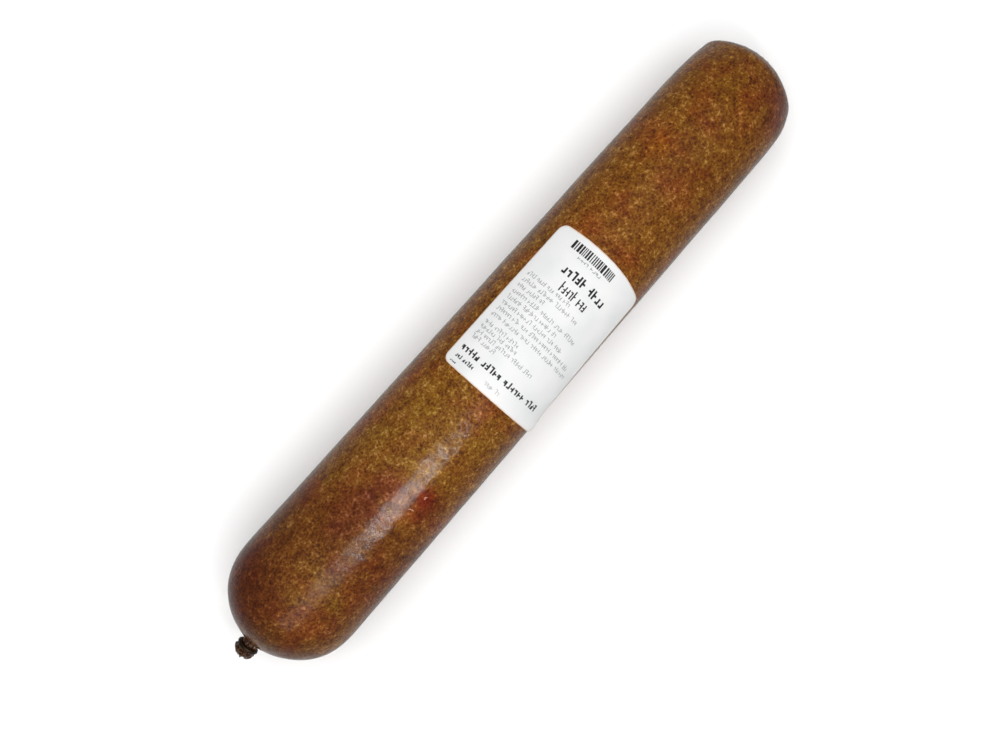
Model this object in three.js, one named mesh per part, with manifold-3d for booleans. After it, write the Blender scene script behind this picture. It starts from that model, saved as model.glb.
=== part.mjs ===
import * as THREE from 'three';
import { mergeVertices } from 'three/addons/utils/BufferGeometryUtils.js';
import Module from 'manifold-3d';

// A one-kilogram roll of minced meat in clear film, lying on its side: the meat filling, the film casing
// gathered to a short tail at each end, a wire clip on each neck, and a label wrapped part of the way
// round. The roll lies along X with its fuller end at -X, and rests on Z = 0. Millimetres and radians.

const wasm = await Module();
wasm.setup();

// The roll
const bodyLength = 352; // from one crown to the other, without the tails
const wideRadius = 32.4; // at the fuller end
const narrowRadius = 27.8; // at the slimmer end
const taperPower = 0.85; // under 1, so the roll slims soonest near its fuller end
const pressDepth = 2; // how far its own weight presses the soft underside flat
const filmWall = 0.4;
const gap = 0.3; // left between pieces that touch

// Its ends. A soft end sags: its crown sinks by `drop`, shifts by `sideways` and leans out over the tail
// by `lean`. The tail points `tilt` below the horizontal and `yaw` towards -Y.
const wideEnd = {
  side: -1,
  domeLength: 36,
  domePower: 2.6,
  crownPower: 1.6,
  drop: 2,
  sideways: 0.6,
  lean: 0,
  tilt: 0.1,
  yaw: 0,
  tailLength: 7.8,
  flareRadius: 5.2,
};
const narrowEnd = {
  side: 1,
  domeLength: 54,
  domePower: 3.6,
  crownPower: 2.6,
  drop: 14,
  sideways: 2,
  lean: 0.25,
  tilt: 0.5,
  yaw: 0.35,
  tailLength: 6.6,
  flareRadius: 3.6,
};

// The gathered necks and the clips round them
const neckRadius = 3;
const neckRoot = 3; // how far the neck reaches back into the crown, which cuts it off there
const boreRadius = 0.6; // the fine channel left between the pleats
const clipWireRadius = 1;
const clipDistance = 2.7; // from the crown to the middle of the wire
const flareStart = 4.4; // where the pleats open out again beyond the clip

// The label
const labelLength = 78.5; // along the roll
const labelWidth = 60.5; // round the roll
const labelCentreX = 16.3;
const labelTurn = 0.31; // how far its middle is turned from the top towards -Y
const labelThickness = 0.4;
const labelCorner = 4;

// Fineness of the facets
const roundSegments = 48;
const domeSteps = 8;
const bodySteps = 8;
const tailSegments = 20;
const wireSegments = 8;
const labelSteps = { along: 20, round: 22 };

const halfLength = bodyLength / 2;

function roundness(x) {
  return (x + halfLength) / bodyLength;
}

function bodyRadius(x) {
  const along = THREE.MathUtils.clamp(roundness(x), 0, 1);
  return THREE.MathUtils.lerp(wideRadius, narrowRadius, along ** taperPower);
}

// The axis slopes with the taper, so the whole underside touches Z = 0.
function axisHeight(x) {
  return THREE.MathUtils.lerp(wideRadius, narrowRadius, roundness(x)) - pressDepth;
}

function endAt(x) {
  return x < 0 ? wideEnd : narrowEnd;
}

// A domed end's outline from its crown to its shoulder, as (radius, x) points.
function domeProfile(end, inset) {
  const points = [];
  for (let step = 0; step <= domeSteps; step += 1) {
    const depth = end.domeLength * (step / domeSteps) ** 2;
    const swell = (1 - (1 - depth / end.domeLength) ** end.domePower) ** (1 / end.crownPower);
    const x = end.side * (halfLength - inset - depth);
    points.push(new THREE.Vector2((bodyRadius(x) - inset) * swell, x));
  }
  return points;
}

// The whole roll's outline from crown to crown, moved in by inset.
function rollProfile(inset) {
  const wide = domeProfile(wideEnd, inset);
  const narrow = domeProfile(narrowEnd, inset).reverse();
  const middle = [];
  for (let step = 1; step < bodySteps; step += 1) {
    const x = THREE.MathUtils.lerp(wide.at(-1).y, narrow[0].y, step / bodySteps);
    middle.push(new THREE.Vector2(bodyRadius(x) - inset, x));
  }
  return [...wide, ...middle, ...narrow];
}

// Lets a point of the straight roll sag to where it rests on the table.
function settlePoint(point, inset) {
  const end = endAt(point.x);
  const reach = (Math.abs(point.x) + inset - halfLength) / end.domeLength + 1;
  const sag = THREE.MathUtils.clamp(reach, 0, 1) ** 3;
  const height = point.z - end.drop * sag;
  const rest = axisHeight(point.x) + height;
  point.x += end.side * end.lean * height * sag;
  point.y += end.sideways * sag;
  point.z = Math.max(rest, inset);
  return point;
}

function rollSkin(inset) {
  const geometry = new THREE.LatheGeometry(rollProfile(inset), roundSegments);
  geometry.rotateZ(-Math.PI / 2);
  const positions = geometry.getAttribute('position');
  for (let index = 0; index < positions.count; index += 1) {
    const point = settlePoint(new THREE.Vector3().fromBufferAttribute(positions, index), inset);
    positions.setXYZ(index, point.x, point.y, point.z);
  }
  return geometry;
}

// Where a tail leaves its crown, and the way it points: its own Y axis runs out along it.
function tailPlacement(end) {
  const root = settlePoint(new THREE.Vector3(end.side * halfLength, 0, 0), 0);
  const level = Math.cos(end.tilt);
  const outward = new THREE.Vector3(
    end.side * level * Math.cos(end.yaw),
    -level * Math.sin(end.yaw),
    -Math.sin(end.tilt),
  );
  const turn = new THREE.Quaternion().setFromUnitVectors(new THREE.Vector3(0, 1, 0), outward);
  return { root, turn };
}

function placedAsTail(geometry, end) {
  const { root, turn } = tailPlacement(end);
  const matrix = new THREE.Matrix4().compose(root, turn, new THREE.Vector3(1, 1, 1));
  return geometry.applyMatrix4(matrix);
}

// The gathered film: a tight neck, then pleats that open to the flare and close a little at the tip.
function tailGeometry(end) {
  const flareMiddle = (flareStart + end.tailLength) / 2;
  const outline = new THREE.SplineCurve([
    new THREE.Vector2(neckRadius, flareStart - 0.6),
    new THREE.Vector2(end.flareRadius * 0.93, flareStart + 0.5),
    new THREE.Vector2(end.flareRadius, flareMiddle),
    new THREE.Vector2(end.flareRadius * 0.85, end.tailLength),
  ]);
  const profile = [
    new THREE.Vector2(0, -neckRoot),
    new THREE.Vector2(neckRadius, -neckRoot),
    ...outline.getPoints(6),
    new THREE.Vector2(0, end.tailLength - 1),
  ];
  return placedAsTail(new THREE.LatheGeometry(profile, tailSegments), end);
}

function boreGeometry(end) {
  const length = neckRoot + end.tailLength + 2;
  const bore = new THREE.CylinderGeometry(boreRadius, boreRadius, length, 8);
  bore.translate(0, length / 2 - neckRoot, 0);
  return placedAsTail(bore, end);
}

// A closed geometry as a solid that can be joined and cut: shared corners merged, empty facets dropped.
function solidOf(geometry) {
  const bare = new THREE.BufferGeometry();
  bare.setAttribute('position', geometry.getAttribute('position'));
  bare.setIndex(geometry.getIndex());
  const merged = mergeVertices(bare, 1e-4);
  const corners = merged.getIndex().array;
  const kept = [];
  for (let first = 0; first < corners.length; first += 3) {
    const [a, b, c] = corners.subarray(first, first + 3);
    if (a !== b && b !== c && c !== a) kept.push(a, b, c);
  }
  return new wasm.Manifold(
    new wasm.Mesh({
      numProp: 3,
      vertProperties: merged.getAttribute('position').array,
      triVerts: new Uint32Array(kept),
    }),
  );
}

function geometryOf(solid) {
  const { vertProperties, triVerts } = solid.getMesh();
  const geometry = new THREE.BufferGeometry();
  geometry.setAttribute('position', new THREE.BufferAttribute(vertProperties, 3));
  geometry.setIndex(new THREE.BufferAttribute(triVerts, 1));
  geometry.computeVertexNormals();
  return geometry;
}

function fillingMesh() {
  const material = new THREE.MeshStandardMaterial({ color: 0x7a4a24, roughness: 0.6, metalness: 0 });
  return new THREE.Mesh(rollSkin(filmWall + gap), material);
}

// The film follows the roll at an even wall and closes on each tail but for the fine channel in it.
function casingMesh() {
  let outside = solidOf(rollSkin(0));
  let inside = solidOf(rollSkin(filmWall));
  for (const end of [wideEnd, narrowEnd]) {
    outside = outside.add(solidOf(tailGeometry(end)));
    inside = inside.add(solidOf(boreGeometry(end)));
  }
  const material = new THREE.MeshStandardMaterial({
    color: 0xe8e0dc,
    roughness: 0.15,
    metalness: 0,
    transparent: true,
    opacity: 0.25,
  });
  return new THREE.Mesh(geometryOf(outside.subtract(inside)), material);
}

function clipMesh(end) {
  const ringRadius = neckRadius + gap + clipWireRadius;
  const geometry = new THREE.TorusGeometry(ringRadius, clipWireRadius, wireSegments, tailSegments);
  geometry.rotateX(Math.PI / 2);
  geometry.translate(0, clipDistance, 0);
  const material = new THREE.MeshStandardMaterial({ color: 0x9a9a98, roughness: 0.35, metalness: 1 });
  const mesh = new THREE.Mesh(geometry, material);
  const { root, turn } = tailPlacement(end);
  mesh.position.copy(root);
  mesh.quaternion.copy(turn);
  return mesh;
}

// Pulls a point of the label's square corner in onto the rounded corner.
function roundCorner(point) {
  const pastX = Math.abs(point.x) - (labelLength / 2 - labelCorner);
  const pastY = Math.abs(point.y) - (labelWidth / 2 - labelCorner);
  if (pastX <= 0 || pastY <= 0) return;
  const pull = Math.max(pastX, pastY) / Math.hypot(pastX, pastY) - 1;
  point.x += Math.sign(point.x) * pastX * pull;
  point.y += Math.sign(point.y) * pastY * pull;
}

// Wraps a flat point of the label round the roll: x runs along it, y round it and z out of it.
function wrapPoint(point) {
  const x = labelCentreX + point.x;
  const angle = labelTurn - point.y / bodyRadius(labelCentreX);
  const radius = bodyRadius(x) + gap + labelThickness / 2 + point.z;
  point.set(x, -radius * Math.sin(angle), axisHeight(x) + radius * Math.cos(angle));
}

function labelMesh() {
  const { along, round } = labelSteps;
  const geometry = new THREE.BoxGeometry(labelLength, labelWidth, labelThickness, along, round, 1);
  const positions = geometry.getAttribute('position');
  for (let index = 0; index < positions.count; index += 1) {
    const point = new THREE.Vector3().fromBufferAttribute(positions, index);
    roundCorner(point);
    wrapPoint(point);
    positions.setXYZ(index, point.x, point.y, point.z);
  }
  const material = new THREE.MeshStandardMaterial({ color: 0xf2f0ee, roughness: 0.5, metalness: 0 });
  return new THREE.Mesh(geometry, material);
}

function named(mesh, name) {
  mesh.name = name;
  return mesh;
}

const roll = new THREE.Group();
roll.add(
  named(fillingMesh(), 'filling'),
  named(casingMesh(), 'casing'),
  named(clipMesh(wideEnd), 'wide_end_clip'),
  named(clipMesh(narrowEnd), 'narrow_end_clip'),
  named(labelMesh(), 'label'),
);

// The origin goes to the middle of the outer box's underside.
const box = new THREE.Box3().setFromObject(roll, true);
const middle = box.getCenter(new THREE.Vector3());
roll.position.set(-middle.x, -middle.y, -box.min.z);

export default roll;
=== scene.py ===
# A one-kilogram roll of minced meat in clear film, with a clipped tail at each end and a paper label.
import math
import random

import bpy
from mathutils import Euler, Matrix, Vector, noise


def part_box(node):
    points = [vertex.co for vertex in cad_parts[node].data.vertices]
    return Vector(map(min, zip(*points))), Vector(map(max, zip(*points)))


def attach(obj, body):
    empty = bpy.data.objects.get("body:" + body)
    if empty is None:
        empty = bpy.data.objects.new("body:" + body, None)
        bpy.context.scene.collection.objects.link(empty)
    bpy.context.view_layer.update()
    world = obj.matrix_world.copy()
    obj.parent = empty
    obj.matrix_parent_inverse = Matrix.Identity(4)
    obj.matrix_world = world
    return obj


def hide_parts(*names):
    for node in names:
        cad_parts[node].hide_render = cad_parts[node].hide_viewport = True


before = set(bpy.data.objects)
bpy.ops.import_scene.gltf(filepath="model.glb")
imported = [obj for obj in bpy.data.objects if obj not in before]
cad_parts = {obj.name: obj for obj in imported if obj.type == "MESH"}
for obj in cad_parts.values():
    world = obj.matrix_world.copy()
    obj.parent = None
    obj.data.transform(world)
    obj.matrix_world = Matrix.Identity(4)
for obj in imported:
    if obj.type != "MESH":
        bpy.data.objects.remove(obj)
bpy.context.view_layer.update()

MM = 0.001

# The roll's driving dimensions, the same as the CAD model's
BODY_LENGTH = 352 * MM
WIDE_RADIUS = 32.4 * MM
NARROW_RADIUS = 27.8 * MM
TAPER_POWER = 0.85
PRESS_DEPTH = 2 * MM
CAD_FILLING_INSET = 0.7 * MM
HALF_LENGTH = BODY_LENGTH / 2

# Its ends. A crown sinks by "drop", shifts by "sideways" and leans out over its tail by "lean". The tail
# points "tilt" below the horizontal and "yaw" towards -Y. "rim", "pleats" and "seed" are in the looks only.
WIDE_END = {
    "side": -1,
    "dome_length": 36 * MM,
    "dome_power": 2.6,
    "crown_power": 1.6,
    "drop": 2 * MM,
    "sideways": 0.6 * MM,
    "lean": 0.0,
    "tilt": 0.1,
    "yaw": 0.0,
    "tail_length": 7.8 * MM,
    "flare_radius": 5.2 * MM,
    "rim": 0.0,
    "pleats": 22,
    "seed": 3,
}
NARROW_END = {
    "side": 1,
    "dome_length": 54 * MM,
    "dome_power": 3.6,
    "crown_power": 2.6,
    "drop": 14 * MM,
    "sideways": 2 * MM,
    "lean": 0.25,
    "tilt": 0.5,
    "yaw": 0.35,
    "tail_length": 6.6 * MM,
    "flare_radius": 3.6 * MM,
    "rim": 0.035,
    "pleats": 20,
    "seed": 11,
}

# A dome's rim, where the meat stops filling the film, stands a little proud
RIM_DEPTH = 10 * MM
RIM_WIDTH = 4 * MM
# The folds round a neck: how high, and how soon they fade away from it
PLEAT_HEIGHT = 1.0 * MM
PLEAT_FADE = 8 * MM
# Bulges on the rim: place along the roll, angle from the top, size and height
BULGES = (
    (160 * MM, 1.5, 13 * MM, 1.7 * MM),
    (168 * MM, -1.45, 12 * MM, 2.0 * MM),
)

# How the pieces lie over one another
FILM_THICKNESS = 0.1 * MM
MEAT_INSET = 0.3 * MM

# The gathered necks and the clips round them. A tail starts a little way inside its crown.
NECK_RADIUS = 3 * MM
TAIL_START = -1.5 * MM
CLIP_WIRE_RADIUS = 1 * MM
CLIP_GAP = 0.3 * MM
CLIP_DISTANCE = 2.7 * MM
FLARE_START = 4.4 * MM

# The label
LABEL_LENGTH = 78.5 * MM
LABEL_WIDTH = 60.5 * MM
LABEL_CENTRE = 16.3 * MM
LABEL_TURN = 0.31
LABEL_CORNER = 4 * MM
# How its far edge departs from straight: a bulge in the middle, and a corner that hangs back
LABEL_BULGE = 1.5 * MM
LABEL_HANG = 3 * MM
# How much further round its free side reaches at the near edge than at the far one, in radians
LABEL_SKEW = 0.12
# How far its free side and its unstuck corner stand off the film, and how far in that reaches
LABEL_SIDE_LIFT = 0.1 * MM
LABEL_SIDE_REACH = 5 * MM
LABEL_CORNER_LIFT = 1.3 * MM
LABEL_CORNER_REACH = 16 * MM
LABEL_THICKNESS = 0.12 * MM
LABEL_LIFT = 0.12 * MM
# The print lies just off the label, and has a thickness too
INK_LIFT = 0.02 * MM
INK_THICKNESS = 0.02 * MM

filling_low, filling_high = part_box("filling")
BODY_X = filling_low.x - CAD_FILLING_INSET + HALF_LENGTH
BODY_Y = (filling_low.y + filling_high.y) / 2
AXIS_MIDDLE = Vector((BODY_X, BODY_Y, (WIDE_RADIUS + NARROW_RADIUS) / 2 - PRESS_DEPTH))


# ---------------------------------------------------------------- the roll's shape


def mix(a, b, share):
    return a + (b - a) * share


def clamp(value, low=0.0, high=1.0):
    return max(low, min(high, value))


def along(x):
    return (x + HALF_LENGTH) / BODY_LENGTH


def body_radius(x):
    return mix(WIDE_RADIUS, NARROW_RADIUS, clamp(along(x)) ** TAPER_POWER)


def axis_height(x):
    return mix(WIDE_RADIUS, NARROW_RADIUS, along(x)) - PRESS_DEPTH


def settle(x, y, z, inset):
    """Lets a point of the straight roll sag to where it rests, in the row frame."""
    end = WIDE_END if x < 0 else NARROW_END
    reach = (abs(x) + inset - HALF_LENGTH) / end["dome_length"] + 1
    sag = clamp(reach) ** 3
    height = z - end["drop"] * sag
    rest = max(axis_height(x) + height, inset)
    lean = end["side"] * end["lean"] * height * sag
    return Vector((BODY_X + x + lean, BODY_Y + y + end["sideways"] * sag, rest))


def lumps(x, angle):
    """How far the soft surface stands proud of a true round, in metres."""
    place = Vector((x, body_radius(x) * math.cos(angle), body_radius(x) * math.sin(angle))) / MM
    broad = noise.noise(place / 34)
    middling = noise.noise(place / 11 + Vector((7, 3, 5)))
    fine = noise.noise(place / 4.2 + Vector((1, 9, 4)))
    height = (0.16 * broad + 0.06 * middling + 0.025 * fine) * MM
    for bulge_x, bulge_angle, size, rise in BULGES:
        turn = math.remainder(angle - bulge_angle, 2 * math.pi)
        off = math.hypot(x - bulge_x, body_radius(x) * turn) / size
        height += rise * math.exp(-(off**2))
    return height


def pleat_height(end, angle, radius):
    """Radiating folds of the gathered skin round a neck, in metres."""
    near = math.exp(-(radius - NECK_RADIUS) / PLEAT_FADE)
    wander = 1.3 * noise.noise(Vector((math.cos(angle) * 1.7, math.sin(angle) * 1.7, end["seed"])))
    wave = math.sin(end["pleats"] * angle / 2 + wander * 3)
    return PLEAT_HEIGHT * near * (1 - abs(wave)) ** 1.5


def roll_point(x, fraction, angle, inset):
    """A point at x along the roll, at a fraction of its full radius, turned by angle from the top."""
    end = WIDE_END if x < 0 else NARROW_END
    radius = (body_radius(x) - inset + lumps(x, angle)) * fraction
    out = end["side"] * pleat_height(end, angle, radius)
    return settle(x, -radius * math.sin(angle), radius * math.cos(angle), inset) + Vector((out, 0, 0))


def dome_rows(end, inset, steps, neck):
    """(x, fraction of the radius) rows of a domed end, from its neck out to its shoulder."""
    rows = []
    for step in range(steps + 1):
        depth = end["dome_length"] * (step / steps) ** 2
        swell = (1 - (1 - depth / end["dome_length"]) ** end["dome_power"]) ** (1 / end["crown_power"])
        swell += end["rim"] * math.exp(-(((depth - RIM_DEPTH) / RIM_WIDTH) ** 2))
        x = end["side"] * (HALF_LENGTH - inset - depth)
        if swell * body_radius(x) > neck or neck == 0:
            rows.append((x, swell))
    return rows


def roll_rows(inset, dome_steps, body_steps, neck=0.0):
    wide = dome_rows(WIDE_END, inset, dome_steps, neck)
    narrow = dome_rows(NARROW_END, inset, dome_steps, neck)[::-1]
    middle = [
        (mix(wide[-1][0], narrow[0][0], step / body_steps), 1.0) for step in range(1, body_steps)
    ]
    return wide + middle + narrow


# ---------------------------------------------------------------- mesh helpers


def make_object(name, points, faces, material, smooth=True):
    mesh = bpy.data.meshes.new(name)
    mesh.from_pydata(points, [], faces)
    mesh.validate()
    mesh.update()
    mesh.polygons.foreach_set("use_smooth", [smooth] * len(mesh.polygons))
    piece = bpy.data.objects.new(name, mesh)
    bpy.context.scene.collection.objects.link(piece)
    piece.data.materials.append(material)
    return piece


def grid_faces(rows, columns, wrap_rows=False):
    """Quads over a grid whose columns close into a ring, and whose rows may too."""
    faces = []
    for row in range(rows if wrap_rows else rows - 1):
        above = (row + 1) % rows
        for column in range(columns):
            beside = (column + 1) % columns
            faces.append(
                (
                    row * columns + column,
                    row * columns + beside,
                    above * columns + beside,
                    above * columns + column,
                )
            )
    return faces


def angles(count):
    return [2 * math.pi * step / count for step in range(count)]


# ---------------------------------------------------------------- materials


def new_material(name):
    material = bpy.data.materials.new(name)
    material.use_nodes = True
    nodes = material.node_tree.nodes
    return material, nodes["Principled BSDF"]


def set_inputs(node, **values):
    for name, value in values.items():
        node.inputs[name.replace("_", " ")].default_value = value


def rgb(red, green, blue):
    """A colour given as it looks on screen, 0 to 255, as the linear values that shaders take."""

    def linear(value):
        value /= 255
        return value / 12.92 if value <= 0.04045 else ((value + 0.055) / 1.055) ** 2.4

    return linear(red), linear(green), linear(blue), 1.0


class Graph:
    """Short calls for adding linked nodes to a material."""

    def __init__(self, material):
        self.tree = material.node_tree

    def node(self, kind, **settings):
        """A new node with its settings."""
        made = self.tree.nodes.new(kind)
        for name, value in settings.items():
            setattr(made, name, value)
        return made

    def link(self, source, target):
        self.tree.links.new(source, target)

    def put(self, target, value):
        """Links a socket to target, or sets target to a plain value."""
        if isinstance(value, bpy.types.NodeSocket):
            self.link(value, target)
        else:
            target.default_value = value

    def millimetres(self):
        """The place on the object in millimetres."""
        place = self.node("ShaderNodeTexCoord").outputs["Object"]
        scaled = self.node("ShaderNodeVectorMath", operation="SCALE")
        self.link(place, scaled.inputs[0])
        scaled.inputs["Scale"].default_value = 1 / MM
        return scaled.outputs[0]

    def noise(self, place, size, detail=2.0, roughness=0.5, distortion=0.0):
        """Smooth noise whose features are about size millimetres across."""
        made = self.node("ShaderNodeTexNoise")
        self.link(place, made.inputs["Vector"])
        set_inputs(made, Scale=1 / size, Detail=detail, Roughness=roughness, Distortion=distortion)
        return made.outputs["Fac"]

    def noise_vector(self, place, size, detail=1.0):
        """Three noises at once, for moving a place about."""
        made = self.node("ShaderNodeTexNoise")
        self.link(place, made.inputs["Vector"])
        set_inputs(made, Scale=1 / size, Detail=detail)
        return made.outputs["Color"]

    def cells(self, place, size):
        """How far each point is from the middle of its own cell."""
        made = self.node("ShaderNodeTexVoronoi")
        self.link(place, made.inputs["Vector"])
        set_inputs(made, Scale=1 / size)
        return made.outputs["Distance"]

    def math(self, operation, a, b):
        made = self.node("ShaderNodeMath", operation=operation)
        self.put(made.inputs[0], a)
        self.put(made.inputs[1], b)
        return made.outputs[0]

    def span(self, value, low, high, out_low=0.0, out_high=1.0, smooth=True):
        """Carries low..high to out_low..out_high, with soft ends."""
        made = self.node("ShaderNodeMapRange")
        made.interpolation_type = "SMOOTHSTEP" if smooth else "LINEAR"
        self.put(made.inputs["Value"], value)
        made.inputs["From Min"].default_value = low
        made.inputs["From Max"].default_value = high
        made.inputs["To Min"].default_value = out_low
        made.inputs["To Max"].default_value = out_high
        return made.outputs["Result"]

    def blend(self, share, a, b, mode="MIX"):
        """Colour a, carried towards its mix with b by a share."""
        made = self.node("ShaderNodeMix", data_type="RGBA", blend_type=mode)
        self.put(made.inputs[0], share)
        self.put(made.inputs[6], a)
        self.put(made.inputs[7], b)
        return made.outputs[2]

    def ramp(self, value, *stops):
        """Turns a value into a colour by (place, colour) stops."""
        made = self.node("ShaderNodeValToRGB")
        elements = made.color_ramp.elements
        while len(elements) < len(stops):
            elements.new(1.0)
        for element, (place, colour) in zip(elements, stops):
            element.position = place
            element.color = colour
        self.put(made.inputs[0], value)
        return made.outputs[0]

    def shifted(self, place, by, amount):
        """Moves a place by a noise vector centred on zero."""
        centred = self.node("ShaderNodeVectorMath", operation="SUBTRACT")
        self.link(by, centred.inputs[0])
        centred.inputs[1].default_value = (0.5, 0.5, 0.5)
        scaled = self.node("ShaderNodeVectorMath", operation="SCALE")
        self.link(centred.outputs[0], scaled.inputs[0])
        scaled.inputs["Scale"].default_value = amount
        added = self.node("ShaderNodeVectorMath", operation="ADD")
        self.link(place, added.inputs[0])
        self.link(scaled.outputs[0], added.inputs[1])
        return added.outputs[0]

    def nearness(self, place, centre, radius):
        """1 at centre, falling softly to 0 at radius. centre is in metres, radius in millimetres."""
        made = self.node("ShaderNodeVectorMath", operation="DISTANCE")
        self.link(place, made.inputs[0])
        made.inputs[1].default_value = tuple(centre / MM)
        return self.span(made.outputs["Value"], 0.2 * radius, radius, 1.0, 0.0)

    def bump(self, height, distance, strength=1.0):
        made = self.node("ShaderNodeBump")
        made.inputs["Strength"].default_value = strength
        made.inputs["Distance"].default_value = distance
        self.link(height, made.inputs["Height"])
        return made.outputs["Normal"]


# Uneven patches of the meat, and patches of painted highlight: place along the roll and angle from the top,
# size in millimetres, and the linear colour that tints the meat there
PATCHES_AND_PAINTED_HIGHLIGHTS = (
    (-135 * MM, -0.9, 66, (0.66, 0.55, 0.60, 1)),
    (-160 * MM, -0.7, 34, (0.66, 0.44, 0.46, 1)),
    (-96 * MM, -0.14, 19, (0.76, 0.53, 0.95, 1)),
    (-80 * MM, 0.0, 13, (0.80, 0.50, 0.85, 1)),
    (-75 * MM, 0.58, 14, (0.82, 0.58, 0.70, 1)),
    (-73 * MM, 0.52, 6, (1.15, 0.62, 0.8, 1)),
    (160 * MM, 0.9, 28, (0.70, 0.46, 0.68, 1)),
    (110 * MM, 0.6, 40, (0.88, 0.84, 0.80, 1)),
    (150 * MM, -0.4, 30, (0.92, 0.88, 0.72, 1)),
    (108 * MM, -0.38, 7, (1.35, 1.30, 0.90, 1)),
    (-105 * MM, 0.95, 46, (0.70, 0.58, 0.52, 1)),
    (-164 * MM, 0.6, 30, (0.74, 0.70, 0.70, 1)),
    # The last five lighten and grey the meat: painted highlight along the glossy streak, and fainter
    # painted reflection to its left and towards the label
    (-128 * MM, 0.22, 22, (1.18, 1.45, 1.35, 1)),
    (-84 * MM, 0.28, 14, (1.20, 1.32, 1.20, 1)),
    (-66 * MM, 0.28, 14, (1.20, 1.32, 1.20, 1)),
    (-67 * MM, -0.4, 34, (1.00, 1.10, 1.40, 1)),
    (-37 * MM, 0.0, 34, (1.08, 1.20, 1.32, 1)),
)


def meat_colour(graph, place, grain, crumbs):
    """Brown meat, dark between its crumbs and golden on them, with reddish and olive tones, darker and
    redder patches, most of them towards the wide end, and lighter greyed patches that are painted
    highlight.
    """
    mottle = graph.noise(place, 4.0, detail=3.0)
    tone = graph.math("ADD", graph.math("MULTIPLY", grain, 0.35), graph.math("MULTIPLY", crumbs, 0.8))
    tone = graph.math("ADD", tone, graph.math("MULTIPLY", mottle, 0.6))
    colour = graph.ramp(
        graph.span(tone, 0.59, 1.17, smooth=False),
        (0.0, rgb(62, 28, 2)),
        (0.3, rgb(99, 53, 5)),
        (0.5, rgb(118, 70, 10)),
        (0.72, rgb(134, 88, 20)),
        (1.0, rgb(180, 134, 72)),
    )
    reddish = graph.span(graph.noise(place, 17.0, detail=3.0), 0.45, 0.70)
    colour = graph.blend(reddish, colour, (1.04, 0.74, 0.95, 1), mode="MULTIPLY")
    olive = graph.span(graph.noise(place, 13.0, detail=3.0, distortion=0.4), 0.48, 0.72)
    colour = graph.blend(olive, colour, (0.88, 0.92, 0.55, 1), mode="MULTIPLY")
    for x, angle, size, tint in PATCHES_AND_PAINTED_HIGHLIGHTS:
        centre = roll_point(x, 1.0, angle, MEAT_INSET)
        ragged = graph.shifted(place, graph.noise_vector(place, 0.4 * size, detail=3.0), 0.9 * size)
        colour = graph.blend(graph.nearness(ragged, centre, size), colour, tint, mode="MULTIPLY")
    return colour


def film_relief(graph, place):
    """The fine grain and slow waves of film that is drawn tight over meat, as a bumped normal."""
    waves = graph.math("MULTIPLY", graph.noise(place, 7.0, detail=2.0), 7.0)
    relief = graph.math("ADD", graph.noise(place, 1.0, detail=2.0), waves)
    return graph.bump(relief, 0.04 * MM)


def meat_material():
    """Finely minced meat, under a coat that stands for the gloss of the film pressed against it."""
    material, shader = new_material("minced meat")
    graph = Graph(material)
    place = graph.millimetres()
    swirled = graph.shifted(place, graph.noise_vector(place, 1.8), 1.6)
    grain = graph.cells(swirled, 1.35)
    crumbs = graph.noise(swirled, 0.9, detail=2.0, roughness=0.6, distortion=0.6)
    graph.link(meat_colour(graph, place, grain, crumbs), shader.inputs["Base Color"])
    relief = graph.math("ADD", graph.math("MULTIPLY", grain, 0.7), crumbs)
    graph.link(graph.bump(relief, 0.22 * MM, 0.6), shader.inputs["Normal"])
    graph.link(film_relief(graph, place), shader.inputs["Coat Normal"])
    set_inputs(shader, Roughness=0.6, Specular_IOR_Level=0.1, Coat_Weight=1.0, Coat_Roughness=0.18)
    return material


def film_material():
    """Film so clear that the meat's own coat shows its gloss."""
    material, shader = new_material("clear film")
    graph = Graph(material)
    ripple = graph.noise(graph.millimetres(), 2.2, detail=2.0)
    graph.link(graph.bump(ripple, 0.12 * MM, 0.5), shader.inputs["Normal"])
    set_inputs(shader, Base_Color=(0.05, 0.04, 0.03, 1.0), Roughness=0.14, Alpha=0.015)
    return material


def wrinkle_and_glint_material():
    """Film bunched up, so that it turns from meat-coloured to pale: partly the film's own whitening where
    it stands off the meat, partly painted highlight for the glints on the crease and beside it.
    """
    material, shader = new_material("film wrinkle and painted glint")
    graph = Graph(material)
    streaks = graph.noise(graph.millimetres(), 0.6, detail=2.0)
    colour = graph.ramp(streaks, (0.35, rgb(150, 84, 58)), (0.65, rgb(216, 168, 140)))
    graph.link(colour, shader.inputs["Base Color"])
    set_inputs(shader, Roughness=0.2)
    return material


def gathered_film_material(end):
    """Film gathered into tight pleats, paler where it opens at the tip. Its fold colour is partly meat
    caught in the pleats, partly painted shade in the hollows and painted highlight on the ridges.
    """
    material, shader = new_material("gathered film")
    graph = Graph(material)
    place = graph.millimetres()
    folds = graph.noise(place, 1.1, detail=3.0, distortion=0.5)
    # Painted shade and highlight: the pleats are near black where their folds sink and pale grey where they
    # rise
    dark = graph.ramp(
        folds,
        (0.30, rgb(30, 13, 6)),
        (0.50, rgb(58, 33, 18)),
        (0.66, rgb(98, 72, 52)),
        (0.82, rgb(150, 130, 110)),
    )
    tip = tail_matrix(end) @ Vector((0, 0, end["tail_length"] + 0.5 * MM))
    pale = graph.nearness(graph.shifted(place, graph.noise_vector(place, 1.2), 2.4), tip, 4.8)
    colour = graph.blend(graph.math("MULTIPLY", pale, 0.8), dark, rgb(206, 190, 172))
    graph.link(colour, shader.inputs["Base Color"])
    graph.link(graph.bump(folds, 0.3 * MM, 0.7), shader.inputs["Normal"])
    set_inputs(shader, Roughness=0.22, Coat_Weight=0.5, Coat_Roughness=0.1)
    return material


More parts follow.
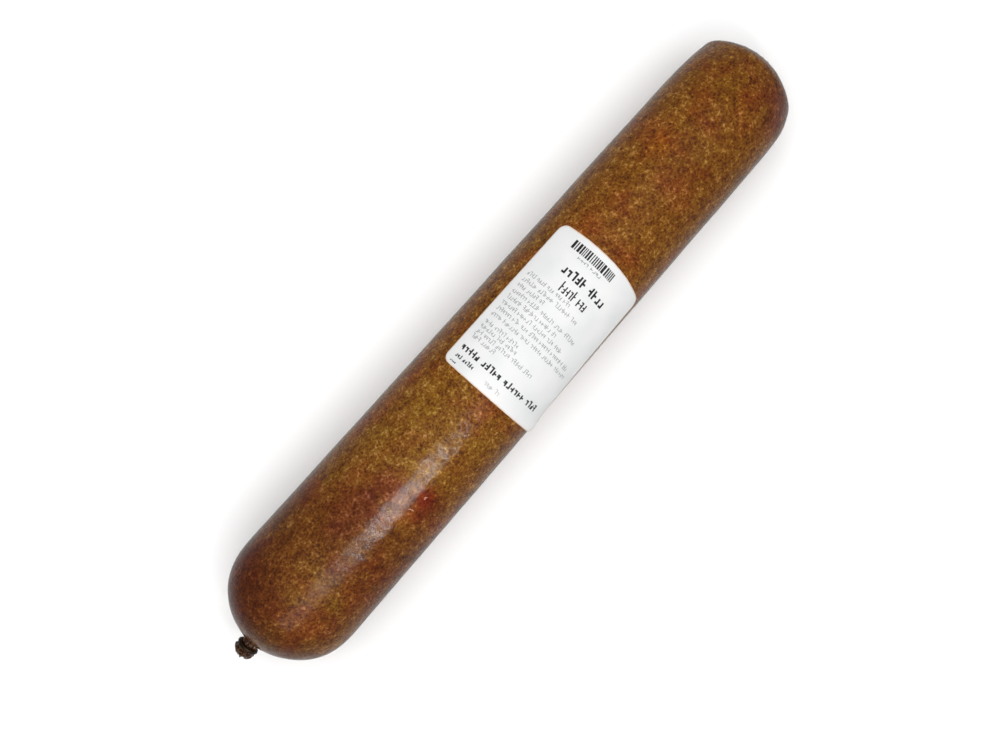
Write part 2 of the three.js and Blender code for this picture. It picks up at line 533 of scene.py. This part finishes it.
def clip_material():
    """Dull, scuffed wire, coloured dark brown partly for the meat's juice and partly as painted shade of
    the crevice between crown and tail.
    """
    material, shader = new_material("clip wire")
    graph = Graph(material)
    place = graph.millimetres()
    scuffs = graph.noise(place, 0.5, detail=4.0, roughness=0.7)
    graph.link(graph.span(scuffs, 0.3, 0.7, 0.38, 0.55), shader.inputs["Roughness"])
    # Painted shade: the metal's colour is dark brown for the crevice it sits in
    colour = graph.ramp(scuffs, (0.3, rgb(84, 68, 54)), (0.7, rgb(132, 114, 98)))
    graph.link(colour, shader.inputs["Base Color"])
    graph.link(graph.bump(scuffs, 0.03 * MM, 0.5), shader.inputs["Normal"])
    set_inputs(shader, Metallic=1.0)
    return material


def label_material():
    """White paper with faint fibres, and broad painted shade where it is cockled."""
    material, shader = new_material("label paper")
    graph = Graph(material)
    place = graph.millimetres()
    fibres = graph.noise(place, 0.35, detail=3.0)
    painted_cockle_shade = graph.noise(place, 14.0, detail=1.0)
    # Painted shade: the cockled paper only darkens and lightens the colour, with no bump behind it
    colour = graph.ramp(
        graph.math("ADD", graph.math("MULTIPLY", fibres, 0.3), graph.math("MULTIPLY", painted_cockle_shade, 0.7)),
        (0.3, rgb(214, 216, 216)),
        (0.7, rgb(226, 226, 225)),
    )
    graph.link(colour, shader.inputs["Base Color"])
    graph.link(graph.bump(fibres, 0.02 * MM, 0.3), shader.inputs["Normal"])
    set_inputs(shader, Roughness=0.42)
    return material


def label_rim_material():
    """The label's outermost strip, a little stained."""
    material, shader = new_material("label rim")
    graph = Graph(material)
    dirt = graph.noise(graph.millimetres(), 2.5, detail=2.0)
    colour = graph.ramp(dirt, (0.35, rgb(216, 184, 160)), (0.65, rgb(224, 214, 204)))
    graph.link(colour, shader.inputs["Base Color"])
    set_inputs(shader, Roughness=0.5)
    return material


def ink_material(name, dark, light):
    """Ink that is worn paler in places."""
    material, shader = new_material(name)
    graph = Graph(material)
    wear = graph.noise(graph.millimetres(), 0.4, detail=3.0)
    graph.link(graph.ramp(wear, (0.35, dark), (0.75, light)), shader.inputs["Base Color"])
    set_inputs(shader, Roughness=0.5)
    return material


def floor_material():
    material, shader = new_material("pale floor")
    set_inputs(shader, Base_Color=(0.96, 0.96, 0.96, 1.0), Roughness=0.9)
    return material


# ---------------------------------------------------------------- pieces


def make_meat():
    """The meat as one closed skin, with a point at each crown."""
    columns = 132
    rows = roll_rows(MEAT_INSET, dome_steps=56, body_steps=300)
    ring = angles(columns)
    points = [roll_point(x, fraction, angle, MEAT_INSET) for x, fraction in rows[1:-1] for angle in ring]
    faces = grid_faces(len(rows) - 2, columns)
    for x, first in ((rows[0][0], 0), (rows[-1][0], len(points) - columns)):
        crown = len(points)
        points.append(settle(x, 0, 0, MEAT_INSET))
        for column in range(columns):
            edge = (first + column, first + (column + 1) % columns)
            faces.append((*edge[::-1], crown) if first == 0 else (*edge, crown))
    return make_object("meat", points, faces, meat_material())


def make_film():
    """The film as an outer and an inner skin that meet round each neck."""
    columns = 108
    ring = angles(columns)
    skins = []
    for inset in (0, FILM_THICKNESS):
        rows = roll_rows(inset, dome_steps=44, body_steps=230, neck=NECK_RADIUS * 0.9)
        skins.append([roll_point(x, fraction, angle, inset) for x, fraction in rows for angle in ring])
    outer, inner = skins
    inner_rows = [inner[start : start + columns] for start in range(0, len(inner), columns)][::-1]
    points = outer + [point for row in inner_rows for point in row]
    faces = grid_faces(len(points) // columns, columns, wrap_rows=True)
    return make_object("film", points, faces, film_material())


# A small wrinkle of the film, and a short pale blob beside it that is a painted glint: place along the
# roll, angle from the top, length, turn and thickness
WRINKLE_AND_PAINTED_GLINT = (
    (-81 * MM, 0.40, 6.5 * MM, 0.9, 0.5 * MM),
    (-72.5 * MM, 0.50, 1.8 * MM, 0.2, 0.55 * MM),
)


def make_wrinkle_and_painted_glint():
    """Slim bent ridges on the film, each tapering to both its ends; the short one is a painted glint."""
    steps, sides = 20, 8
    points, faces = [], []
    for x, angle, length, turn, thickness in WRINKLE_AND_PAINTED_GLINT:
        first = len(points)
        for step in range(steps):
            share = (step + 0.5) / steps
            along_it = (share - 0.5) * length
            bent = 0.9 * length * (share - 0.5) ** 2
            here_x = x + along_it * math.cos(turn) - bent * math.sin(turn)
            here_angle = angle + (along_it * math.sin(turn) + bent * math.cos(turn)) / body_radius(x)
            swell = thickness * math.sin(share * math.pi) ** 0.7
            centre = roll_point(here_x, 1.0, here_angle, 0)
            out = Vector((0, -math.sin(here_angle), math.cos(here_angle)))
            across = Vector((-math.sin(turn), 0, 0)) + math.cos(turn) * out.cross(Vector((1, 0, 0)))
            for around in angles(sides):
                points.append(centre + swell * (0.6 * math.sin(around) * out + math.cos(around) * across))
        faces += [tuple(first + corner for corner in face) for face in grid_faces(steps, sides)]
        faces.append(tuple(first + side for side in range(sides))[::-1])
        faces.append(tuple(first + (steps - 1) * sides + side for side in range(sides)))
    return make_object("wrinkle_and_painted_glint", points, faces, wrinkle_and_glint_material())


def tail_matrix(end):
    """Carries a tail's own space, with Z out along it, to its place on the crown."""
    root = settle(end["side"] * HALF_LENGTH, 0, 0, 0)
    level = math.cos(end["tilt"])
    outward = Vector(
        (end["side"] * level * math.cos(end["yaw"]), -level * math.sin(end["yaw"]), -math.sin(end["tilt"]))
    )
    return Matrix.Translation(root) @ outward.to_track_quat("Z", "Y").to_matrix().to_4x4()


def tail_radius(end, distance):
    """The gathered film's radius at a distance out from the crown: pinched at the wire, widest past it."""
    if distance < FLARE_START:
        pinch = math.exp(-(((distance - CLIP_DISTANCE) / (1.1 * MM)) ** 2))
        rooted = mix(0.8, 1.0, clamp((distance - TAIL_START) / (2 * MM)))
        return NECK_RADIUS * (1.36 - 0.28 * pinch) * rooted
    share = (distance - FLARE_START) / (end["tail_length"] - FLARE_START)
    opened = mix(1.3 * NECK_RADIUS, end["flare_radius"], math.sin(min(share * 4.0, 1.0) * math.pi / 2))
    return opened * (1 - 0.45 * share**1.7)


# A tail's pleats: each wave's share of the folds, and how often it goes round
PLEAT_WAVES = ((0.55, 9), (0.3, 14), (0.15, 23))
TAIL_COLUMNS = 144
TAIL_ROWS = 40
TIP_ROWS = 10
TIP_DEPTH = 2.2 * MM


def tail_wall(end, turns):
    """Rows of points out along a tail, in its own space: pleats that twist, open and end raggedly."""
    points = []
    for row in range(TAIL_ROWS):
        distance = mix(TAIL_START, end["tail_length"], row / (TAIL_ROWS - 1))
        radius = tail_radius(end, distance)
        open_share = clamp((distance - FLARE_START) / (end["tail_length"] - FLARE_START))
        depth = mix(0.07, 0.2, open_share)
        for angle in angles(TAIL_COLUMNS):
            twist = angle + 0.5 * open_share
            fold = sum(
                share * math.cos(count * twist + turn)
                for (share, count), turn in zip(PLEAT_WAVES, turns)
            )
            place = Vector((math.cos(angle) * 2, math.sin(angle) * 2, end["seed"]))
            ragged = 1.1 * MM * open_share**3 * noise.noise(place)
            spread = radius * (1 + depth * fold)
            points.append(Vector((spread * math.cos(angle), spread * math.sin(angle), distance + ragged)))
    return points


def tail_tip(edges, turn):
    """Rows of points from a tail's last row in towards its sunken middle."""
    points = []
    for row in range(1, TIP_ROWS):
        share = 1 - row / TIP_ROWS
        for edge, angle in zip(edges, angles(TAIL_COLUMNS)):
            sink = TIP_DEPTH * (1 - share) * (0.7 + 0.3 * math.cos(7 * angle + turn))
            points.append(Vector((edge.x * share, edge.y * share, edge.z - sink)))
    return points


def make_tail(end, name):
    """The gathered film past a crown, closed at its root and at its tip."""
    rng = random.Random(end["seed"])
    turns = [rng.uniform(0, 2 * math.pi) for _ in PLEAT_WAVES]
    points = tail_wall(end, turns)
    points += tail_tip(points[-TAIL_COLUMNS:], turns[1])
    faces = grid_faces(len(points) // TAIL_COLUMNS, TAIL_COLUMNS)
    last = len(points) - TAIL_COLUMNS
    for first, z in ((0, TAIL_START), (last, end["tail_length"] - 2.4 * MM)):
        centre = len(points)
        points.append(Vector((0, 0, z)))
        for column in range(TAIL_COLUMNS):
            edge = (first + column, first + (column + 1) % TAIL_COLUMNS)
            faces.append((*edge[::-1], centre) if first == 0 else (*edge, centre))
    matrix = tail_matrix(end)
    return make_object(name, [matrix @ point for point in points], faces, gathered_film_material(end))


def make_clip(end, name):
    """A plain ring of wire round the neck."""
    sides, steps = 16, 64
    ring_radius = NECK_RADIUS + CLIP_GAP + CLIP_WIRE_RADIUS
    points = []
    for angle in angles(steps):
        outward = Vector((math.cos(angle), math.sin(angle), 0))
        centre = ring_radius * outward + Vector((0, 0, CLIP_DISTANCE))
        for turn in angles(sides):
            section = math.cos(turn) * outward - math.sin(turn) * Vector((0, 0, 1))
            points.append(centre + CLIP_WIRE_RADIUS * section)
    faces = grid_faces(steps, sides, wrap_rows=True)
    matrix = tail_matrix(end)
    return make_object(name, [matrix @ point for point in points], faces, clip_material())


# ---------------------------------------------------------------- the label and its print


def label_curl(right, up):
    """How far the label stands off the film: most at the corner that has come unstuck."""
    corner = clamp(1 - math.hypot(LABEL_WIDTH - right, up) / LABEL_CORNER_REACH)
    side = clamp(1 - (LABEL_WIDTH - right) / LABEL_SIDE_REACH)
    return LABEL_CORNER_LIFT * corner**2 + LABEL_SIDE_LIFT * side**2


def label_point(right, up, lift):
    """A point of the label: right along a line of print, up the page, lifted off the film.

    Print runs round the roll towards -Y, and the page's top is towards the slimmer end.
    """
    share = clamp(right / LABEL_WIDTH)
    slack = LABEL_BULGE * math.sin(math.pi * share) - LABEL_HANG * share**2
    x = LABEL_CENTRE - LABEL_LENGTH / 2 + up + slack * up / LABEL_LENGTH
    angle = LABEL_TURN + (right - LABEL_WIDTH / 2) / body_radius(LABEL_CENTRE)
    angle -= LABEL_SKEW * share * up / LABEL_LENGTH
    radius = body_radius(x) + lumps(x, angle) + lift + label_curl(right, up)
    height = axis_height(x) + radius * math.cos(angle)
    return Vector((BODY_X + x, BODY_Y - radius * math.sin(angle), height))


def rounded(right, up):
    """Pulls a point of the square corners in onto the label's rounded corners."""
    from_middle = [right - LABEL_WIDTH / 2, up - LABEL_LENGTH / 2]
    past = [
        abs(from_middle[0]) - (LABEL_WIDTH / 2 - LABEL_CORNER),
        abs(from_middle[1]) - (LABEL_LENGTH / 2 - LABEL_CORNER),
    ]
    if min(past) <= 0:
        return right, up
    pull = 1 - max(past) / math.hypot(*past)
    return (
        right - math.copysign(past[0] * pull, from_middle[0]),
        up - math.copysign(past[1] * pull, from_middle[1]),
    )


def make_label():
    """A sheet with rounded corners. Its outermost strip and cut edge take a second material."""
    across, tall = 134, 157
    points = []
    for lift in (LABEL_LIFT, LABEL_LIFT + LABEL_THICKNESS):
        for row in range(tall + 1):
            for column in range(across + 1):
                right, up = rounded(LABEL_WIDTH * column / across, LABEL_LENGTH * row / tall)
                points.append(label_point(right, up, lift))
    layer = (across + 1) * (tall + 1)
    faces, rims = [], []
    for row in range(tall):
        for column in range(across):
            a = row * (across + 1) + column
            quad = (a, a + 1, a + across + 2, a + across + 1)
            faces += [quad[::-1], tuple(corner + layer for corner in quad)]
            rims += [row in (0, tall - 1) or column in (0, across - 1)] * 2
    loop = list(range(across))
    loop += [row * (across + 1) + across for row in range(tall)]
    loop += [tall * (across + 1) + column for column in range(across, 0, -1)]
    loop += [row * (across + 1) for row in range(tall, 0, -1)]
    for here, there in zip(loop, loop[1:] + loop[:1]):
        faces.append((there, there + layer, here + layer, here))
        rims.append(True)
    label = make_object("label_sheet", points, faces, label_material())
    label.data.materials.append(label_rim_material())
    label.data.polygons.foreach_set("material_index", [int(rim) for rim in rims])
    return label


# The strokes of the made-up signs, which stand for print and spell nothing
SIGNS = (
    ("right", "top", "middle"),
    ("right", "middle"),
    ("left", "middle"),
    ("right", "middle", "bottom"),
    ("right", "bottom"),
    ("right", "top"),
)


# Where the print is, in millimetres. The row of bars: start, stop, how far up the page and how high, and
# the widths and gaps that its bars are drawn from.
BAR_ROW = (11.5, 36.5, 71.3, 4.1)
BAR_WIDTHS = (0.45, 0.6, 0.6, 0.9, 1.3)
BAR_GAPS = (0.45, 0.55, 0.7)
# Lines of signs: start, stop, how far up the page, height, pitch and stroke
BOLD_LINES = (
    (15.5, 44, 60.6, 4.2, 2.7, 0.92),
    (20.0, 38.3, 53.8, 4.8, 1.8, 0.62),
    (3.8, 55.5, 8.4, 3.2, 2.1, 0.72),
    (4.2, 16.5, 4.4, 2.0, 1.2, 0.46),
    (3.6, 8.6, 1.6, 0.9, 0.9, 0.26),
)
FINE_LINES = (
    (17.5, 33, 69.0, 1.7, 1.6, 0.24),
    (22, 31, 3.2, 2.2, 1.2, 0.14),
)
# The block of small print: how far up the page each line is and where it stops
SMALL_LINES = (
    (51.0, 30), (47.7, 38), (44.4, 20), (41.1, 43), (37.8, 34), (34.5, 43), (31.2, 50), (27.9, 53),
    (23.6, 24), (20.9, 27), (18.0, 37), (15.2, 18),
)  # fmt: skip
SMALL_START = 3.8
SMALL_SIGNS = (2.1, 1.25, 0.2)


class Print:
    """Flat marks on the label, each a thin closed patch that follows the roll."""

    low = LABEL_LIFT + LABEL_THICKNESS + INK_LIFT
    high = low + INK_THICKNESS
    step = 1.2 * MM
    # Left between the strokes of a sign
    gap = 0.01 * MM

    def __init__(self, seed):
        self.rng = random.Random(seed)
        self.points = []
        self.faces = []

    def mark(self, right, up, width, height):
        """One closed patch, in short lengths so that it can bend round the roll."""
        parts = max(1, math.ceil(width / self.step))
        first = len(self.points)
        for part in range(parts + 1):
            for rise in (up, up + height):
                for lift in (self.low, self.high):
                    self.points.append(label_point(right + width * part / parts, rise, lift))
        for part in range(parts):
            a = first + 4 * part
            b = a + 4
            self.faces += [(a + 1, b + 1, b + 3, a + 3), (a, a + 2, b + 2, b)]
            self.faces += [(a, b, b + 1, a + 1), (a + 2, a + 3, b + 3, b + 2)]
        last = first + 4 * parts
        self.faces += [(first, first + 1, first + 3, first + 2), (last, last + 2, last + 3, last + 1)]

    def bars(self, start, stop, up, height):
        """A row of upright bars of random widths."""
        right = start * MM
        while right < stop * MM:
            bar = self.rng.choice(BAR_WIDTHS) * MM
            self.mark(right, up * MM, bar, height * MM)
            right += bar + self.rng.choice(BAR_GAPS) * MM

    def sign(self, right, up, width, height, stroke, strokes):
        """One made-up sign, of no alphabet: up to three straight strokes of an upright box."""
        beside = right + (stroke + self.gap if "left" in strokes else 0)
        length = width - stroke - self.gap
        places = {
            "left": (right, up, stroke, height),
            "right": (right + width - stroke, up, stroke, height),
            "top": (beside, up + height - stroke, length, stroke),
            "middle": (beside, up + (height - stroke) / 2, length, stroke),
            "bottom": (beside, up, length, stroke),
        }
        for name in strokes:
            self.mark(*places[name])

    def line(self, *sizes):
        """Runs of made-up signs, some of them tall, with spaces between the runs."""
        right, stop, up, height, pitch, stroke = (size * MM for size in sizes)
        while right < stop - 2 * pitch:
            for _ in range(self.rng.randint(3, 7)):
                if right > stop - pitch:
                    break
                tall = self.rng.random() < 0.3
                shape = self.rng.choice(SIGNS)
                self.sign(right, up, pitch * 0.74, height * (1.0 if tall else 0.72), stroke, shape)
                right += pitch
            right += pitch * 0.8

    def finish(self, name, material):
        return make_object(name, self.points, self.faces, material, smooth=False)


def make_dark_print():
    """The row of bars, two headings, and the bold lines at the page's foot."""
    ink = Print(seed=5)
    ink.bars(*BAR_ROW)
    for line in BOLD_LINES:
        ink.line(*line)
    return ink.finish("dark_print", ink_material("black ink", rgb(22, 22, 24), rgb(52, 52, 54)))


def make_grey_print():
    """The block of small print, the line under the bars, and a fine line at the page's foot."""
    ink = Print(seed=8)
    for up, stop in SMALL_LINES:
        ink.line(SMALL_START, stop, up, *SMALL_SIGNS)
    for line in FINE_LINES:
        ink.line(*line)
    return ink.finish("grey_print", ink_material("grey ink", rgb(84, 86, 88), rgb(138, 140, 142)))


# ---------------------------------------------------------------- camera, floor, room and lights


def make_camera():
    """Straight above, turned so the roll lies along the picture's rising diagonal."""
    data = bpy.data.cameras.new("camera")
    camera = bpy.data.objects.new("camera", data)
    bpy.context.scene.collection.objects.link(camera)
    data.sensor_width = 36
    data.lens = 43.2
    data.clip_start = 0.01
    camera.location = AXIS_MIDDLE + Vector((-12.1 * MM, -3.8 * MM, 541 * MM))
    camera.rotation_euler = Euler((0, 0, math.radians(-48.55)))
    bpy.context.scene.camera = camera


def make_light(name, place, size, power, target):
    data = bpy.data.lights.new(name, "AREA")
    data.shape = "RECTANGLE"
    data.size, data.size_y = size
    data.energy = power
    light = bpy.data.objects.new(name, data)
    bpy.context.scene.collection.objects.link(light)
    light.location = place
    light.rotation_euler = (Vector(target) - Vector(place)).to_track_quat("-Z", "Y").to_euler()
    light.visible_camera = False
    return light


# The room's grey, and what the film's gloss shows of it: below, and from the horizon up
ROOM_GREY = 0.46
GLOSS_BELOW = 0.42
GLOSS_ABOVE = 0.06

# The strip lights, in metres and watts: where each starts along the roll, how far to its side, how high,
# and its power. All end at the same place, and each lies a little lower than the one before it.
STRIP_END = -0.098
STRIP_WIDTH = 0.34
STRIPS = (
    ("strip_long", -0.90, -0.28, 0.62, 0.48),
    ("strip_middle", -0.215, -0.30, 0.61, 0.06),
    ("strip_short", -0.152, -0.33, 0.60, 0.47),
)


def make_floor():
    """A plain pale floor, which the gloss doesn't show."""
    half = 4.0
    corners = [(-half, -half, 0), (half, -half, 0), (half, half, 0), (-half, half, 0)]
    floor = make_object("floor", corners, [(0, 1, 2, 3)], floor_material(), smooth=False)
    floor.visible_glossy = False


def make_room():
    """An even pale room, dimmer in the gloss, as it is between a studio's dark screens."""
    world = bpy.data.worlds.new("studio")
    bpy.context.scene.world = world
    world.use_nodes = True
    graph = Graph(world)
    direction = graph.node("ShaderNodeSeparateXYZ")
    graph.link(graph.node("ShaderNodeTexCoord").outputs["Generated"], direction.inputs[0])
    screens = graph.span(direction.outputs["Z"], -0.9, 0.05, GLOSS_BELOW, GLOSS_ABOVE)
    in_gloss = graph.node("ShaderNodeLightPath").outputs["Is Glossy Ray"]
    room = graph.blend(in_gloss, (ROOM_GREY, ROOM_GREY, ROOM_GREY, 1.0), screens)
    graph.link(room, world.node_tree.nodes["Background"].inputs["Color"])


def make_lights():
    """A broad overhead light, which the gloss doesn't show, and strips whose glow runs along the film."""
    overhead = make_light("overhead", (0.03, 0.0, 1.2), (1.5, 1.5), 14.5, (0.03, 0, 0))
    overhead.visible_glossy = False
    for name, start, side, height, power in STRIPS:
        middle = (start + STRIP_END) / 2
        size = (STRIP_END - start, STRIP_WIDTH)
        make_light(name, (middle, side, height), size, power, (middle, 0, 0.03))


def main():
    bpy.context.scene.view_settings.view_transform = "Standard"
    make_camera()
    make_floor()
    make_room()
    make_lights()
    meat = make_meat()
    film = make_film()
    tails = [make_tail(WIDE_END, "wide_end_tail"), make_tail(NARROW_END, "narrow_end_tail")]
    clips = [make_clip(WIDE_END, "wide_end_wire"), make_clip(NARROW_END, "narrow_end_wire")]
    wrinkle_and_painted_glint = make_wrinkle_and_painted_glint()
    label = make_label()
    prints = [make_dark_print(), make_grey_print()]
    for piece in (meat, film, wrinkle_and_painted_glint, *tails, *clips, label, *prints):
        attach(piece, "root")
    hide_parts("filling")
    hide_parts("casing")
    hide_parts("wide_end_clip")
    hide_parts("narrow_end_clip")
    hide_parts("label")


main()
